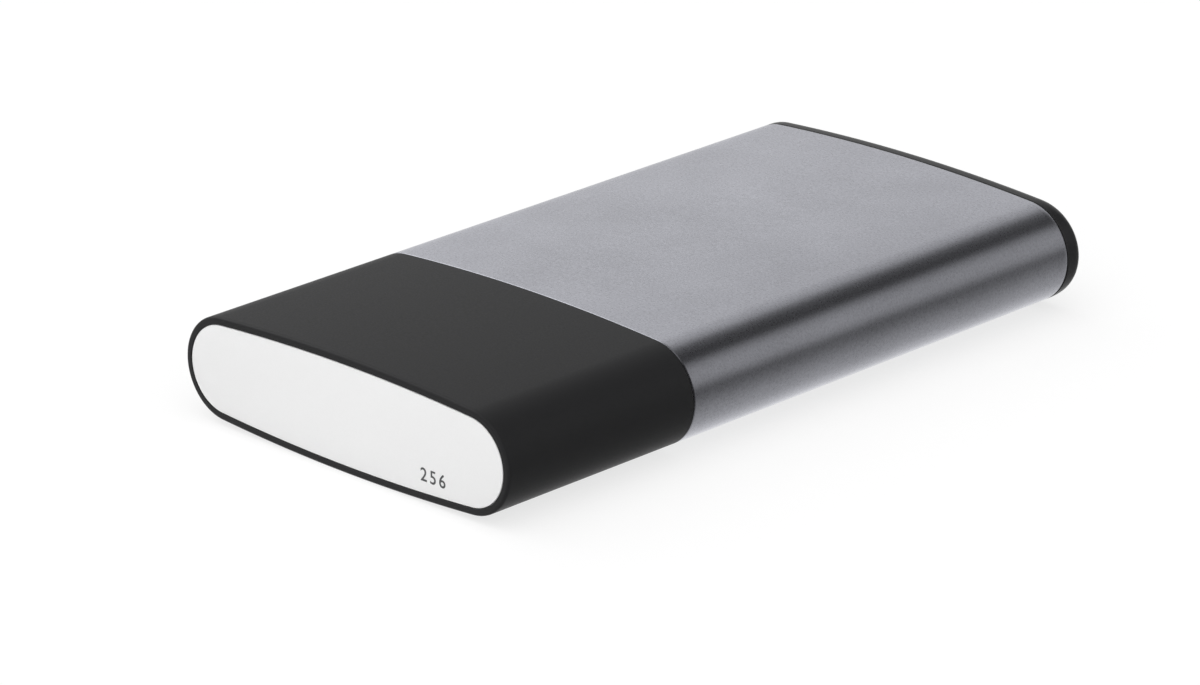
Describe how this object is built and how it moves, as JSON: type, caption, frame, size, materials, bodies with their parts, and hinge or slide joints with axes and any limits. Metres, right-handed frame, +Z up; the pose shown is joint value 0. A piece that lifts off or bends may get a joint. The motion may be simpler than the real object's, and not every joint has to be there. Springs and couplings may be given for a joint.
{
  "type": "portable solid state drive",
  "caption": "Flat stadium-section portable solid state drive: aluminium sleeve, black front shroud with a white end plate, dark rear cap with a USB-C socket.",
  "frame": {"origin": "middle of the underside's bounding box: centred in X and Y, on the underside in Z", "axes": "+Y along the length from the white front plate to the USB socket, +Z up through the thickness, +X across the width"},
  "size_m": [0.058, 0.106, 0.0155],
  "materials": {
    "sleeve_aluminium": "fine blasted and anodised, natural silver",
    "shroud_black": "matt moulded black",
    "plate_white": "smooth satin white",
    "adhesive_film": "double-sided film",
    "cap_dark": "matt moulded dark grey",
    "clear_guide": "clear polished acrylic",
    "tray_plastic": "moulded, unpainted",
    "foam": "soft cellular foam",
    "screw_steel": "plated",
    "board_laminate": "green solder mask",
    "chip_epoxy": "moulded epoxy",
    "can_metal": "drawn and plated sheet",
    "ferrite": "pressed and fired",
    "capacitor_ceramic": "fired ceramic with tinned ends",
    "led_lens": "clear cast resin",
    "tongue_plastic": "glass-filled, black",
    "contact_gold": "gold flash over copper"
  },
  "bodies": {
    "root": {"sleeve": "sleeve_aluminium", "front_shroud": "shroud_black", "front_plate": "plate_white", "plate_adhesive": "adhesive_film", "rear_cap": "cap_dark", "light_guide": "clear_guide", "tray": "tray_plastic", "foam_strip": "foam", "case_screws": "screw_steel", "board_screws": "screw_steel", "circuit_board": "board_laminate", "flash_chip_1": "chip_epoxy", "flash_chip_2": "chip_epoxy", "flash_chip_3": "chip_epoxy", "flash_chip_4": "chip_epoxy", "controller_chip": "chip_epoxy", "cache_chip": "chip_epoxy", "bridge_chip": "chip_epoxy", "voltage_regulator": "chip_epoxy", "crystal": "can_metal", "power_inductors": "ferrite", "capacitors": "capacitor_ceramic", "resistors": "ferrite", "status_led": "led_lens", "usb_socket_shell": "can_metal", "usb_tongue": "tongue_plastic", "usb_contacts": "contact_gold"}
  },
  "joints": []
}
